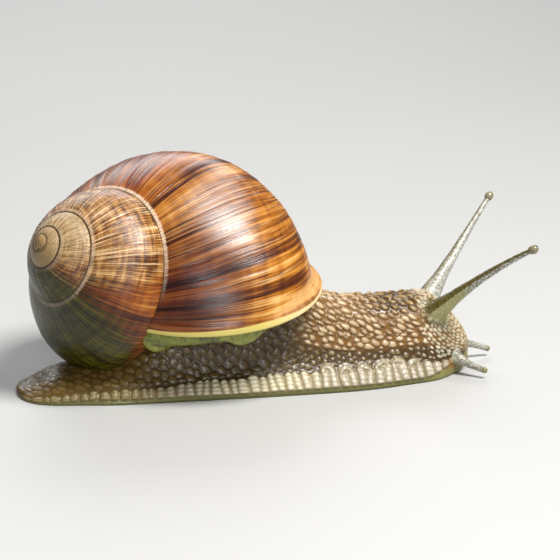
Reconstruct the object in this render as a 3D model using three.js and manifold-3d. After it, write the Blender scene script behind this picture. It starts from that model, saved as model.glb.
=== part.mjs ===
// A land snail, Helix pomatia, crawling with all four tentacles out, at life size.
// Millimetres. The head points along +X, +Y is the animal's left and +Z is up.
// The origin is the centre of the sole, on the floor.
import * as THREE from 'three';
import { mergeVertices } from 'three/addons/utils/BufferGeometryUtils.js';
import Module from 'manifold-3d';

const wasm = await Module();
wasm.setup();

const RAD = Math.PI / 180;
const TURN = 2 * Math.PI;
const vec = (x, y, z) => new THREE.Vector3(x, y, z);

// ---------------------------------------------------------------- sizes
const GAP = 0.3;                                  // between neighbouring pieces
const FINEST = 0.03;                              // smaller steps of a surface are evened out

// The coiled shell. Its growth lines are copies of the lip, turned back about
// the axis and shrunk towards the apex.
const SHELL = {
  apex: vec(-29.9, -6.6, 24.7),
  axisRise: 26.4 * RAD,                           // axis above the horizontal
  axisSwing: 32.6 * RAD,                          // and to the right of straight back
  lipTurn: 123.2 * RAD,                           // suture's end, from the axis's upper side
  growth: 1.909,                                  // size gained in one whorl
  whorls: 3.7,
  sutureRadius: 13.64,                            // at the lip
  sutureDepth: 14.5,                              // below the apex, at the lip
  dome: 1.61,                                     // above 1 the spire is domed
  planeLean: 14 * RAD,                            // tilt of the lip's plane, outwards
  planeSlant: 41.4 * RAD,                         // and from the axis
  lipAcross: -1.3,                                // lip's centre from the suture's end
  lipDown: 14.64,
  lipHalfWidth: 11.35,
  lipHalfAbove: 17.2,
  lipHalfBelow: 13.36,
  lipTwist: -27.3 * RAD,
  wall: 0.9,
  flare: 1.4,                                     // how far the lip turns out
  flareGrowth: 0.1,                               // growth over which it does, in radians
  mouthGrowth: 0.24,                              // depth of the open mouth, in radians
  nucleus: 1.3,                                   // radius of the first, smooth whorl
};

// Stations along the body: place, half width of the sole, half width of the
// back, height of the back, height of the underside.
const BODY = [
  [-33.3, 1.8, 1.2, 0.9, 0],
  [-32.6, 4.0, 2.8, 1.2, 0],
  [-31.0, 6.0, 4.4, 1.7, 0],
  [-28.5, 7.2, 5.6, 2.9, 0],
  [-25.0, 7.9, 6.2, 3.9, 0],
  [-20.0, 8.9, 6.8, 5.0, 0],
  [-15.0, 9.3, 7.0, 8.5, 0],
  [-9.0, 9.6, 7.0, 15.0, 0],
  [-2.0, 9.9, 7.0, 19.0, 0],
  [5.0, 10.1, 7.0, 18.0, 0],
  [10.0, 10.1, 7.1, 14.4, 0],
  [15.0, 10.0, 7.1, 12.2, 0],
  [20.0, 9.5, 6.9, 11.8, 0],
  [25.0, 8.4, 6.4, 11.8, 0],
  [29.0, 7.4, 6.1, 12.0, 0],
  [31.5, 5.8, 5.4, 10.4, 0],
  [33.4, 3.6, 4.3, 8.3, 0.1],
  [34.8, 2.2, 3.2, 6.4, 0.9],
  [35.8, 0.8, 1.4, 4.4, 2.4],
];

// The margin of the foot: pairs of upright ribs over a groove and a smooth edge.
const SKIRT = {
  height: 2.9,
  tailHeight: 1.9,
  tailEnds: -25,                                  // where the margin starts to grow taller
  fullFrom: 5,                                    // and where it has its whole height
  bodyHeight: 4.6,                                // a lower body has a smaller margin
  edge: 0.7,
  groove: 0.3,
  pair: 2.75,                                     // length of a pair of ribs
  relief: 0.5,                                    // depth of the grooves between pairs
  within: 0.5,                                    // of that depth, within a pair
  from: -31.4,
  to: 31,
};

// The coarse raised grains of the skin, in rows from the skirt to the ridge.
const GRAINS = { spacing: 3.65, length: 1.35, width: 0.72, height: 0.45, slant: 28 * RAD };
const GRAIN_ROWS = [
  { lift: 18, from: -28, to: 32 },
  { lift: 31, from: 9, to: 32.5 },
  { lift: 44, from: 10, to: 33.5 },
  { lift: 57, from: 11, to: 33.5 },
  { lift: 70, from: 11, to: 33 },
  { lift: 82, from: 11, to: 32 },
];

const MOUTH = { at: vec(35.4, 0, 2.9), depth: 1.2, width: 0.36, height: 1.5 };
const ORAL_LOBE = { at: vec(33.9, 2.1, 1.9), size: vec(1.7, 1.25, 1.15) };

const CUTS = { tail: -16, neck: 11, head: 24.5 }; // where one part of the body ends

const UPPER = {
  right: { root: vec(27.6, -2.2, 7.2), tip: vec(41.6, -14.7, 21.8), bow: vec(0, 0.2, 1.9) },
  left: { root: vec(28.2, 2.0, 7.1), tip: vec(43.9, 14.2, 23.7), bow: vec(0, 0, 0.2) },
};
const UPPER_RADII = [[0, 2.2], [0.22, 1.5], [0.32, 1.06], [0.5, 0.72], [0.75, 0.48], [1, 0.35]];
const UPPER_LENGTHS = [['root', 0.27, 0.48], ['middle', 0.48, 0.71], ['end', 0.71, 0.94]];
const BULB = { radius: 0.68, length: 1.7 };

const LOWER = {
  right: { root: vec(32.0, -3.4, 3.2), tip: vec(36.5, -7.6, 1.3), bow: vec(0, 0, -0.5) },
  left: { root: vec(32.8, 1.5, 3.8), tip: vec(40.4, 3.4, 1.25), bow: vec(0, 0, 0.3) },
};
const LOWER_RADII = [[0, 1.2], [0.25, 1], [0.5, 0.62], [0.7, 0.48], [1, 0.4]];
const LOWER_START = 0.45;
const LOWER_BULB = { radius: 0.48, length: 1.1 };

// ---------------------------------------------------------------- solids
function toSolid(geometry) {
  const bare = geometry.clone();
  bare.deleteAttribute('normal');
  bare.deleteAttribute('uv');
  const merged = mergeVertices(bare, 1e-4);
  return new wasm.Manifold(new wasm.Mesh({
    numProp: 3,
    vertProperties: new Float32Array(merged.attributes.position.array),
    triVerts: new Uint32Array(merged.index.array),
  }));
}

// Keeps the largest closed surface of a solid and gives it as a geometry.
function toGeometry(solid) {
  const pieces = solid.simplify(FINEST).decompose().sort((a, b) => b.volume() - a.volume());
  const mesh = pieces[0].getMesh();
  const geometry = new THREE.BufferGeometry();
  geometry.setAttribute('position', new THREE.Float32BufferAttribute(mesh.vertProperties, 3));
  geometry.setIndex(Array.from(mesh.triVerts));
  geometry.computeVertexNormals();
  return geometry;
}

// A closed loft through rings of equally many points, with both ends capped.
function loft(rings) {
  const count = rings[0].length;
  const positions = [];
  const faces = [];
  for (const ring of rings) {
    for (const point of ring) positions.push(point.x, point.y, point.z);
  }
  for (let i = 0; i + 1 < rings.length; i += 1) {
    for (let j = 0; j < count; j += 1) {
      const a = i * count + j;
      const b = i * count + (j + 1) % count;
      faces.push(a, b, b + count, a, b + count, a + count);
    }
  }
  for (const [first, flip] of [[0, true], [(rings.length - 1) * count, false]]) {
    const ring = rings[first / count];
    const middle = vec(0, 0, 0);
    for (const point of ring) middle.addScaledVector(point, 1 / count);
    const centre = positions.length / 3;
    positions.push(middle.x, middle.y, middle.z);
    for (let j = 0; j < count; j += 1) {
      const a = first + j;
      const b = first + (j + 1) % count;
      faces.push(centre, flip ? b : a, flip ? a : b);
    }
  }
  const geometry = new THREE.BufferGeometry();
  geometry.setAttribute('position', new THREE.Float32BufferAttribute(positions, 3));
  geometry.setIndex(faces);
  return geometry;
}

// The loft as a solid, turned right side out if its rings run the other way.
function loftSolid(rings) {
  const solid = toSolid(loft(rings));
  if (solid.volume() > 0) return solid;
  return toSolid(loft([...rings].reverse()));
}

// ---------------------------------------------------------------- shell
const axisUp = vec(
  -Math.cos(SHELL.axisRise) * Math.cos(SHELL.axisSwing),
  -Math.cos(SHELL.axisRise) * Math.sin(SHELL.axisSwing),
  Math.sin(SHELL.axisRise),
);
const axisTop = vec(0, 0, 1).projectOnPlane(axisUp).normalize();
const axisSide = vec(0, 0, 0).crossVectors(axisUp, axisTop);
const growthRate = Math.log(SHELL.growth) / TURN;

// The lip's plane, on the radial, growth and axial directions at the suture's end.
const lipNormal = vec(
  Math.sin(SHELL.planeLean),
  Math.cos(SHELL.planeLean) * Math.cos(SHELL.planeSlant),
  -Math.cos(SHELL.planeLean) * Math.sin(SHELL.planeSlant),
);
const lipDown = vec(0, 0, -1).projectOnPlane(lipNormal).normalize();
const lipOut = vec(0, 0, 0).crossVectors(lipDown, lipNormal);
const AXIS_MEETS_LIP = SHELL.sutureRadius * lipNormal.x / lipNormal.z - SHELL.sutureDepth;

// A point of the lip's oval, in the axis's frame: radial, growth and axial.
function lipPoint(angle, inset) {
  const half = Math.sin(angle) > 0 ? SHELL.lipHalfBelow : SHELL.lipHalfAbove;
  const x = (SHELL.lipHalfWidth - inset) * Math.cos(angle);
  const y = (half - inset) * Math.sin(angle);
  const cos = Math.cos(SHELL.lipTwist);
  const sin = Math.sin(SHELL.lipTwist);
  return vec(SHELL.sutureRadius, 0, -SHELL.sutureDepth)
    .addScaledVector(lipOut, SHELL.lipAcross + x * cos - y * sin)
    .addScaledVector(lipDown, SHELL.lipDown + x * sin + y * cos);
}

// Carries a point of the lip back by a growth angle, into the body's frame.
function grown(local, growth) {
  const size = Math.exp(growthRate * growth);
  const turn = SHELL.lipTurn + growth + Math.atan2(local.y, local.x);
  const radius = size * Math.hypot(local.x, local.y);
  const rise = (local.z + SHELL.sutureDepth) * size - SHELL.sutureDepth * size ** SHELL.dome;
  return SHELL.apex.clone()
    .addScaledVector(axisTop, radius * Math.cos(turn))
    .addScaledVector(axisSide, -radius * Math.sin(turn))
    .addScaledVector(axisUp, rise);
}

const smooth = (value) => THREE.MathUtils.smoothstep(value, 0, 1);
const FACE = { from: -112 * RAD, to: 212 * RAD, steps: 26 };  // of the oval that is outer face
const MOUTH_FACE = { from: -84 * RAD, to: 178 * RAD, steps: 26, rings: 6 };  // of the oval inside
const NUCLEUS_DEPTH = 1.2;                        // of its centre, below the apex
const CALLUS = 0.08;                              // glaze on the whorl inside the mouth

// Steps of growth in each third of a turn, from the lip back to the apex.
const WHORL_STEPS = [11, 10, 9, 8, 8, 7, 7, 6, 6, 5, 5];

// How far the lip turns out, fading towards the suture and the columella.
function flareAt(angle, growth) {
  const along = smooth(1 + growth / SHELL.flareGrowth);
  const around = smooth((angle - 5 * RAD) / (85 * RAD)) * smooth((200 * RAD - angle) / (60 * RAD));
  return SHELL.flare * along * along * around;
}

// A section of the solid whorl: its outer face, closed along the axis.
function whorlSection(growth, inset) {
  const ring = [];
  for (let j = 0; j <= FACE.steps; j += 1) {
    const angle = THREE.MathUtils.lerp(FACE.from, FACE.to, j / FACE.steps);
    ring.push(grown(lipPoint(angle, inset - flareAt(angle, growth)), growth));
  }
  ring.push(grown(vec(0, 0, AXIS_MEETS_LIP), growth));
  return ring;
}

// The pillar on the axis that the whorls are wound about: radius, and height
// above the end of the axis, at the lip; then its waist and its top.
function core(last, inset) {
  const size = Math.exp(growthRate * last);
  const end = (AXIS_MEETS_LIP + SHELL.sutureDepth) * size - SHELL.sutureDepth * size ** SHELL.dome;
  const foot = [[0, 1], [0.8, 1.3], [3.7, 5.2]].map(([r, rise]) => [r * size, end + rise * size]);
  const profile = [...foot, [1.4, -5], [0.4, -NUCLEUS_DEPTH], [0, -NUCLEUS_DEPTH]];
  const points = profile.map(([r, y]) => new THREE.Vector2(r > 0 ? r - inset : 0, y));
  const geometry = new THREE.LatheGeometry(points, 12);
  geometry.applyQuaternion(new THREE.Quaternion().setFromUnitVectors(vec(0, 1, 0), axisUp));
  geometry.translate(SHELL.apex.x, SHELL.apex.y, SHELL.apex.z);
  return toSolid(geometry);
}

// The whorls as one solid, up to a growth angle, a third of a turn at a time,
// with a ring where the lip starts to turn out.
function whorls(last, inset) {
  const third = TURN / 3;
  const thirds = Math.round((last / TURN + SHELL.whorls) * 3);
  const centre = SHELL.apex.clone().addScaledVector(axisUp, -NUCLEUS_DEPTH);
  let solid = toSolid(new THREE.SphereGeometry(SHELL.nucleus - inset, 14, 8)
    .translate(centre.x, centre.y, centre.z)).add(core(last, inset));
  for (let k = 0; k < thirds; k += 1) {
    const steps = WHORL_STEPS[k + WHORL_STEPS.length - thirds];
    const growths = [];
    for (let i = 0; i <= steps; i += 1) growths.push(last - third * (k + 1 - i / steps));
    if (growths[steps] >= 0) growths.splice(steps, 0, -SHELL.flareGrowth);
    solid = solid.add(loftSolid(growths.map((growth) => whorlSection(growth, inset))));
  }
  return solid;
}

// The hollow inside the last of the body whorl, between two growth angles.
function mouth(from, to, inset) {
  const rings = [];
  for (let i = 0; i <= MOUTH_FACE.rings; i += 1) {
    const growth = THREE.MathUtils.lerp(from, to, i / MOUTH_FACE.rings);
    const ring = [];
    for (let j = 0; j <= MOUTH_FACE.steps; j += 1) {
      const angle = THREE.MathUtils.lerp(MOUTH_FACE.from, MOUTH_FACE.to, j / MOUTH_FACE.steps);
      ring.push(grown(lipPoint(angle, inset - flareAt(angle, Math.min(growth, 0))), growth));
    }
    rings.push(ring);
  }
  return loftSolid(rings);
}

const INNER_WHORLS = -TURN + 1.7;                 // growth of the whorl seen inside the mouth
const shell = whorls(0, 0)
  .subtract(mouth(-SHELL.mouthGrowth, 0.2, SHELL.wall).subtract(whorls(INNER_WHORLS, -CALLUS)));
const shellRoom = whorls(0.02, -GAP);

// ---------------------------------------------------------------- body
// The body's sizes at a place along it, eased between the stations.
function station(x) {
  const at = Math.max(1, BODY.findIndex((row) => row[0] >= x));
  const rows = [at - 2, at - 1, at, at + 1]
    .map((i) => BODY[THREE.MathUtils.clamp(i, 0, BODY.length - 1)]);
  const span = rows[2][0] - rows[1][0];
  const t = (x - rows[1][0]) / span;
  const [, sole, back, top, under] = rows[1].map((value, i) => {
    const slope = (a, b) => (b[0] === a[0] ? 0 : (b[i] - a[i]) / (b[0] - a[0]) * span);
    const m0 = slope(rows[0], rows[2]);
    const m1 = slope(rows[1], rows[3]);
    const t2 = t * t;
    const t3 = t2 * t;
    return (2 * t3 - 3 * t2 + 1) * value + (t3 - 2 * t2 + t) * m0
      + (3 * t2 - 2 * t3) * rows[2][i] + (t3 - t2) * m1;
  });
  return { sole, back, under, height: top - under };
}

// Half width of the body at a place and a height above its underside.
function halfWidth(x, rise) {
  const { sole, back, height } = station(x);
  const round = Math.max(0, 1 - (rise / height) ** 2);
  const skirt = Math.min(SKIRT.height, height * 0.75);
  const spread = Math.max(sole - back, 0) * Math.exp(-((rise / skirt) ** 2));
  return back * round ** 0.35 + spread * Math.sqrt(round);
}

// A cross-section of the body, on a rib of the skirt (1) or in a groove (0).
function bodySection(x, rib) {
  const { height, under } = station(x);
  const unit = Math.min(1, height / SKIRT.bodyHeight);
  const taller = smooth((x - SKIRT.tailEnds) / (SKIRT.fullFrom - SKIRT.tailEnds));
  const ribTop = THREE.MathUtils.lerp(SKIRT.tailHeight, SKIRT.height, taller);
  const inset = SKIRT.relief * unit * (1 - rib);
  const skirt = [
    [0, 0.5 * unit],
    [SKIRT.edge, 0],
    [SKIRT.edge + 0.15, SKIRT.groove * unit],
    [ribTop * 0.5, inset],
    [ribTop * 0.8, inset],
    [ribTop, inset * 0.5],
  ];
  const half = skirt.map(([rise, cut]) => [halfWidth(x, rise * unit) - cut, rise * unit]);
  const start = Math.asin(ribTop * unit / height);
  for (let j = 1; j <= 9; j += 1) {
    const lift = THREE.MathUtils.lerp(start, Math.PI / 2, (j / 9) ** 0.85);
    const rise = height * Math.sin(lift);
    half.push([halfWidth(x, rise), rise]);
  }
  const right = half.map(([y, rise]) => vec(x, -Math.max(y, 0), under + rise));
  const left = half.slice(0, -1).reverse().map(([y, rise]) => vec(x, Math.max(y, 0), under + rise));
  return [...right, ...left];
}

// The same value between 0 and 1 each time for the same number.
const scatter = (n) => THREE.MathUtils.euclideanModulo(Math.sin(n * 12.9898) * 43758.5453, 1);

// The body's loft: each pair of ribs lies between two deep grooves and has a
// shallow one along its middle.
function bodySolid() {
  const start = BODY[0][0];
  const end = BODY[BODY.length - 1][0];
  const count = Math.round((end - start) / SKIRT.pair);
  const step = (end - start) / count;
  const rings = [];
  for (let i = 0; i < count; i += 1) {
    const groove = start + i * step;
    const ribbed = groove > SKIRT.from && groove < SKIRT.to;
    const shift = i > 0 ? (scatter(i) - 0.5) * 0.35 : 0;
    rings.push(bodySection(groove + shift, ribbed ? 0 : 1));
    rings.push(bodySection(groove + step * 0.22, 1));
    rings.push(bodySection(groove + step * 0.5, ribbed ? SKIRT.within : 1));
    rings.push(bodySection(groove + step * 0.78, 1));
  }
  rings.push(bodySection(end, 1));
  return loftSolid(rings);
}

// A point of the body's side, at a lift from the sole (0) to the ridge (90).
function bodyPoint(x, lift, side) {
  const { height, under } = station(x);
  const rise = height * Math.sin(lift);
  return vec(x, side * halfWidth(x, rise), under + rise);
}

// One raised grain of the skin: a low dome, longer than wide.
function grain(x, lift, side, size) {
  const at = bodyPoint(x, lift, side);
  const along = bodyPoint(x + 0.3, lift, side).sub(at).normalize();
  const up = bodyPoint(x, lift + 2 * RAD, side).sub(at).normalize();
  const out = vec(0, 0, 0).crossVectors(along, up).multiplyScalar(-side).normalize();
  up.crossVectors(out, along);
  const shape = new THREE.SphereGeometry(1, 6, 4);
  shape.rotateX(90 * RAD);
  shape.scale(GRAINS.length * size, GRAINS.width * size, GRAINS.height);
  shape.rotateZ(-GRAINS.slant * side * Math.sin(2 * lift));
  const frame = new THREE.Matrix4().makeBasis(along, up, out);
  shape.applyMatrix4(frame.setPosition(at));
  return toSolid(shape);
}

function grains() {
  const solids = [];
  GRAIN_ROWS.forEach(({ lift, from, to }, row) => {
    for (const side of [-1, 1]) {
      const count = Math.round((to - from) / GRAINS.spacing);
      for (let i = 0; i < count; i += 1) {
        const seed = row * 61 + i * 2 + side;
        const x = from + (i + 0.5 * (row % 2) + 0.35 * scatter(seed)) * GRAINS.spacing;
        const size = (x > 27 ? 0.75 : 1) * (0.85 + 0.3 * scatter(seed + 0.5));
        solids.push(grain(x, lift * RAD, side, size));
      }
    }
  });
  return wasm.Manifold.union(solids);
}

function ellipsoid(at, size) {
  const ball = new THREE.SphereGeometry(1, 12, 8);
  return toSolid(ball.scale(size.x, size.y, size.z).translate(at.x, at.y, at.z));
}

// ---------------------------------------------------------------- tentacles
function radiusAt(table, t) {
  const at = Math.max(1, table.findIndex((row) => row[0] >= t));
  const [t0, r0] = table[at - 1];
  const [t1, r1] = table[at];
  return THREE.MathUtils.lerp(r0, r1, (t - t0) / (t1 - t0));
}

function tentacleCurve({ root, tip, bow }) {
  const middle = root.clone().lerp(tip, 0.5).add(bow);
  return new THREE.QuadraticBezierCurve3(root, middle, tip);
}

// A round piece along a curve, from one fraction of its length to another.
function limb(curve, from, to, steps, sides, radius) {
  const rings = [];
  for (let i = 0; i <= steps; i += 1) {
    const t = THREE.MathUtils.lerp(from, to, i / steps);
    const centre = curve.getPointAt(Math.min(t, 1));
    const along = curve.getTangentAt(Math.min(t, 1));
    if (t > 1) centre.addScaledVector(along, (t - 1) * curve.getLength());
    const across = vec(0, 0, 1).projectOnPlane(along).normalize();
    const beside = vec(0, 0, 0).crossVectors(along, across);
    const ring = [];
    for (let j = 0; j < sides; j += 1) {
      const a = TURN * j / sides;
      const r = radius(t, i / steps);
      ring.push(centre.clone().addScaledVector(across, r * Math.cos(a))
        .addScaledVector(beside, r * Math.sin(a)));
    }
    rings.push(ring);
  }
  return loftSolid(rings);
}

const bulbShape = (size) => (t, part) => size.radius * Math.sqrt(Math.max(0.06, 1 - (2 * part - 1) ** 2));

// ---------------------------------------------------------------- mantle
// The soft collar in the mouth of the shell: a plug, and a roll along the lip
// that hangs below it on the right. Angle, radius and growth beyond the lip.
const MANTLE_OUT = 0.05;
const MANTLE_ROLL = [
  [-56, 1.3, 0.04], [-48, 1.9, 0.17], [-40, 1.8, 0.16], [-30, 1.5, 0.1], [-20, 1.4, 0.08], [-9, 1.3, 0.06],
  [0, 1.4, 0.055], [8, 1.7, 0.09], [16, 1.6, 0.08], [26, 1.2, 0.03], [45, 0.9, 0.02], [80, 0.8, 0],
  [120, 0.8, 0], [165, 0.8, 0],
];
const LAPPET = { at: vec(-13.5, -9.8, 10.4), size: vec(2.5, 1.4, 2.3) };
const BREATHING_HOLE = { at: vec(-11.3, -12.5, 10.5), size: vec(0.8, 0.8, 0.45) };

function mantleRoll(extra) {
  const last = MANTLE_ROLL.length - 1;
  const points = MANTLE_ROLL
    .map(([angle, r, out]) => grown(lipPoint(angle * RAD, SHELL.wall + GAP + r), out));
  const curve = new THREE.CatmullRomCurve3(points);
  const radii = MANTLE_ROLL.map(([, r], i) => [i / last, r]);
  return limb(curve, 0, 1, 30, 8, (t) => radiusAt(radii, curve.getUtoTmapping(t)) + extra);
}

const mantle = mouth(GAP / 20 - SHELL.mouthGrowth, MANTLE_OUT, SHELL.wall + GAP)
  .add(mantleRoll(0))
  .add(ellipsoid(LAPPET.at, LAPPET.size))
  .subtract(ellipsoid(BREATHING_HOLE.at, BREATHING_HOLE.size))
  .subtract(whorls(INNER_WHORLS, -GAP));
const mantleRoom = mouth(-SHELL.mouthGrowth, MANTLE_OUT + 0.02, SHELL.wall)
  .add(mantleRoll(GAP))
  .add(ellipsoid(LAPPET.at, LAPPET.size.clone().addScalar(GAP)));

// ---------------------------------------------------------------- model
const SKIN = { color: 0x8a7456, roughness: 0.45, metalness: 0 };
const model = new THREE.Group();

function addPiece(name, solid, look) {
  const mesh = new THREE.Mesh(toGeometry(solid), new THREE.MeshStandardMaterial(look));
  mesh.name = name;
  model.add(mesh);
}

addPiece('shell', shell, { color: 0xa8672b, roughness: 0.3, metalness: 0 });
addPiece('mantle_collar', mantle, { color: 0xa9ad72, roughness: 0.4, metalness: 0 });

const lobes = [-1, 1].map((side) => {
  const at = ORAL_LOBE.at.clone();
  at.y *= side;
  return ellipsoid(at, ORAL_LOBE.size);
});
const mouthLine = ellipsoid(MOUTH.at, vec(MOUTH.depth, MOUTH.width, MOUTH.height));
let flesh = bodySolid().simplify(2 * FINEST).add(grains()).add(lobes[0]).add(lobes[1]);
flesh = flesh.subtract(mouthLine).subtract(shellRoom).subtract(mantleRoom);

const tentacles = [];
for (const side of ['right', 'left']) {
  const upper = tentacleCurve(UPPER[side]);
  const length = upper.getLength();
  const step = GAP / length;
  flesh = flesh.add(limb(upper, 0, UPPER_LENGTHS[0][1] - step, 3, 12, (t) => radiusAt(UPPER_RADII, t)));
  for (const [name, from, to] of UPPER_LENGTHS) {
    const solid = limb(upper, from, to - step, 6, 12, (t) => radiusAt(UPPER_RADII, t));
    tentacles.push([`upper_tentacle_${side}_${name}`, solid]);
  }
  const bulbStart = UPPER_LENGTHS[2][2];
  tentacles.push([`eye_bulb_${side}`,
    limb(upper, bulbStart, bulbStart + BULB.length / length, 8, 12, bulbShape(BULB))]);
  const lower = tentacleCurve(LOWER[side]);
  const lowerStep = GAP / lower.getLength();
  const tipAt = 1 - LOWER_BULB.length / lower.getLength() / 2;
  flesh = flesh.add(limb(lower, 0, LOWER_START - lowerStep, 2, 10, (t) => radiusAt(LOWER_RADII, t)));
  tentacles.push([`lower_tentacle_${side}`,
    limb(lower, LOWER_START, tipAt - lowerStep, 4, 10, (t) => radiusAt(LOWER_RADII, t))]);
  tentacles.push([`lower_tip_${side}`,
    limb(lower, tipAt, tipAt + LOWER_BULB.length / lower.getLength(), 6, 10, bulbShape(LOWER_BULB))]);
}

// The body parted by thin upright cuts.
const bounds = [-Infinity, CUTS.tail, CUTS.neck, CUTS.head, Infinity];
['tail', 'foot', 'neck', 'head'].forEach((name, i) => {
  let piece = flesh;
  if (i > 0) piece = piece.trimByPlane([1, 0, 0], bounds[i] + GAP / 2);
  if (i < 3) piece = piece.trimByPlane([-1, 0, 0], -bounds[i + 1] + GAP / 2);
  addPiece(name, piece, SKIN);
});
for (const [name, solid] of tentacles) addPiece(name, solid, { ...SKIN, color: 0x8f8c66 });

export default model;
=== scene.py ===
import math

import bmesh
import bpy
import numpy as np
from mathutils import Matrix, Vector
from numpy import radians


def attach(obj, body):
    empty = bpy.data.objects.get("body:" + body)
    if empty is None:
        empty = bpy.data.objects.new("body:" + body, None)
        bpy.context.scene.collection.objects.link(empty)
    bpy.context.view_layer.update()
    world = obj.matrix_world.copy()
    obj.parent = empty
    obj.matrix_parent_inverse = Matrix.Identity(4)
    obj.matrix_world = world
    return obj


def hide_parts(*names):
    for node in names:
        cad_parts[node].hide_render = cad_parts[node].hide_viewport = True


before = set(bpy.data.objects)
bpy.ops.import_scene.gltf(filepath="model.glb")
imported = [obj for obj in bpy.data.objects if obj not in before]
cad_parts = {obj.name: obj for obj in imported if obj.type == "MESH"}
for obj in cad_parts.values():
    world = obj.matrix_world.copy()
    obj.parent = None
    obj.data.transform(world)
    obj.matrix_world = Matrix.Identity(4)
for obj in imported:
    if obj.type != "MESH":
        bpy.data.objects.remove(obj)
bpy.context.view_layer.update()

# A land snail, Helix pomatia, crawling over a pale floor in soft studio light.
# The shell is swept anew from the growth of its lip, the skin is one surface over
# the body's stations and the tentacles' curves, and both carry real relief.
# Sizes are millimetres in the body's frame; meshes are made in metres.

MM = 0.001
TURN = 2 * math.pi
RIGHT, LEFT = -1, 1
SIDES = {RIGHT: "right", LEFT: "left"}
UP = np.array([0, 0, 1])

# ---------------- shell, its coil and lip as in the CAD source
# Growth is the angle that the lip has still to turn: 0 at the lip, falling to the apex.
# Places round the lip's oval are angles too.
APEX = np.array([-29.9, -6.6, 24.7])
AXIS_RISE = radians(26.4)  # axis above the horizontal
AXIS_SWING = radians(32.6)  # and to the right of straight back
LIP_TURN = radians(123.2)  # suture's end, from the axis's upper side
GROWTH = 1.909  # size gained in one whorl
WHORLS = 3.7
START = -WHORLS * TURN  # growth where the first whorl begins
SUTURE_RADIUS, SUTURE_DEPTH = 13.64, 14.5
DOME = 1.61  # how the spire rounds over, where 1 is a cone
PLANE_LEAN, PLANE_SLANT = radians([14, 41.4])
LIP_ACROSS, LIP_DOWN = -1.3, 14.64
LIP_HALF_WIDTH, LIP_HALF_ABOVE, LIP_HALF_BELOW = 11.35, 17.2, 13.36
LIP_TWIST = radians(-27.3)
WALL = 0.9
FLARE, FLARE_GROWTH = 1.4, 0.1
FLARE_ROUND = radians([5, 90, 140, 200])  # starts, full from, full to, ends
FACE_FROM, FACE_TO = radians([-112, 212])
NUCLEUS_RADIUS, NUCLEUS_DEPTH, NUCLEUS_SIDES = 1.3, 1.2, 32  # of the first, smooth whorl

# Where a whorl leaves the one before it, in degrees round the oval: steady for a part
# of a turn, and then falling with a power of the turns.
SUTURE_AT, SUTURE_STEADY, SUTURE_FALL, SUTURE_POWER = -46, 0.2, 4.2, 1.5

ROWS_IN_A_TURN, FACE_COLUMNS = 460, 150
EDGE_ROWS, START_ROWS, INNER_ROWS = 8, 10, 36
EDGE_REACH = 0.012  # growth that the rounded edge stands forward
START_REACH, START_CLOSED = 0.7, 0.97  # growth before the first row, and how far it shuts
INNER_REACH = 0.6  # growth that the inside of the mouth goes back

# Growth lines: how many to a radian of growth, and their height.
BROAD_LINES, BROAD_HEIGHT = 9, 0.16
FINE_LINES, FINE_HEIGHT = 31, 0.1
LIP_LEAN, EXTRA_LEAN, LEAN_ZONE = 0.05, 0.15, (-0.3, -1.2)  # their lean, and where it grows
RELIEF_PAST_SUTURE, RELIEF_PAST_LIP = radians(12), 0.05
SMOOTH_WHORLS, SMOOTH_FADE = 3.1, 4  # no relief beyond these turns, and its fade before them

# Dark bundles of growth lines: place, half width, the degrees that they cross, strength.
DARK_BUNDLES = [
    [-0.24, 0.038, -70, 70, 0.85],
    [-0.46, 0.055, -70, 100, 1.1],
    [-0.68, 0.030, 30, 100, 0.7],
    [-1.10, 0.030, 5, 75, 0.6],
    [-1.37, 0.062, -22, 80, 1.2],
    [-1.62, 0.030, -40, 40, 0.4],
    [-1.91, 0.070, -45, 30, 0.8],
    [-2.30, 0.060, -45, 60, 0.6],
    [-2.90, 0.080, -45, 120, 0.8],
    [-3.60, 0.060, -45, 150, 0.7],
    [-4.40, 0.080, -45, 150, 0.8],
]
BUNDLE_EASE = radians(25)

# The older whorls get a painted reflection of green surroundings, olive with painted shade, where they face
# down and back.
GREEN_WAY = np.array([-0.62, -0.25, -0.74])
GREEN_TURNS = (0.45, 0.6, 2.4, 2.75)  # turns from the lip: starts, full from, full to, ends
GREEN_FACING, GREEN_EASE = 0.4, 0.25
THIRD_FACING, THIRD_FROM, THIRD_EASE = 0.22, 1.85, 0.2  # the third whorl has less of it
NO_SUTURE = 5  # distance given where there is none near

# ---------------- body, its stations, tentacles and mantle as in the CAD source
# Stations along the body: place, half width of the sole, half width of the
# back, height of the back, height of the underside.
BODY = np.array([
    [-33.3, 1.8, 1.2, 0.9, 0],
    [-32.6, 4.0, 2.8, 1.2, 0],
    [-31.0, 6.0, 4.4, 1.7, 0],
    [-28.5, 7.2, 5.6, 2.9, 0],
    [-25.0, 7.9, 6.2, 3.9, 0],
    [-20.0, 8.9, 6.8, 5.0, 0],
    [-15.0, 9.3, 7.0, 8.5, 0],
    [-9.0, 9.6, 7.0, 15.0, 0],
    [-2.0, 9.9, 7.0, 19.0, 0],
    [5.0, 10.1, 7.0, 18.0, 0],
    [10.0, 10.1, 7.1, 14.4, 0],
    [15.0, 10.0, 7.1, 12.2, 0],
    [20.0, 9.5, 6.9, 11.8, 0],
    [25.0, 8.4, 6.4, 11.8, 0],
    [29.0, 7.4, 6.1, 12.0, 0],
    [31.5, 5.8, 5.4, 10.4, 0],
    [33.4, 3.6, 4.3, 8.3, 0.1],
    [34.8, 2.2, 3.2, 6.4, 0.9],
    [35.8, 0.8, 1.4, 4.4, 2.4],
])
TAIL_END, SNOUT = BODY[0, 0], BODY[-1, 0]
BACK_ROUNDNESS = 0.35
SOLE_ROUNDING, SOLE_ROUNDING_SHARE = 0.35, 0.3
BODY_ROWS, PROFILE_POINTS, ARC_ROWS = 300, 60, 140
SKIRT_HEIGHT, TAIL_SKIRT_HEIGHT, SKIRT_GROWS = 2.9, 1.9, (-25, 5)
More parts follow.
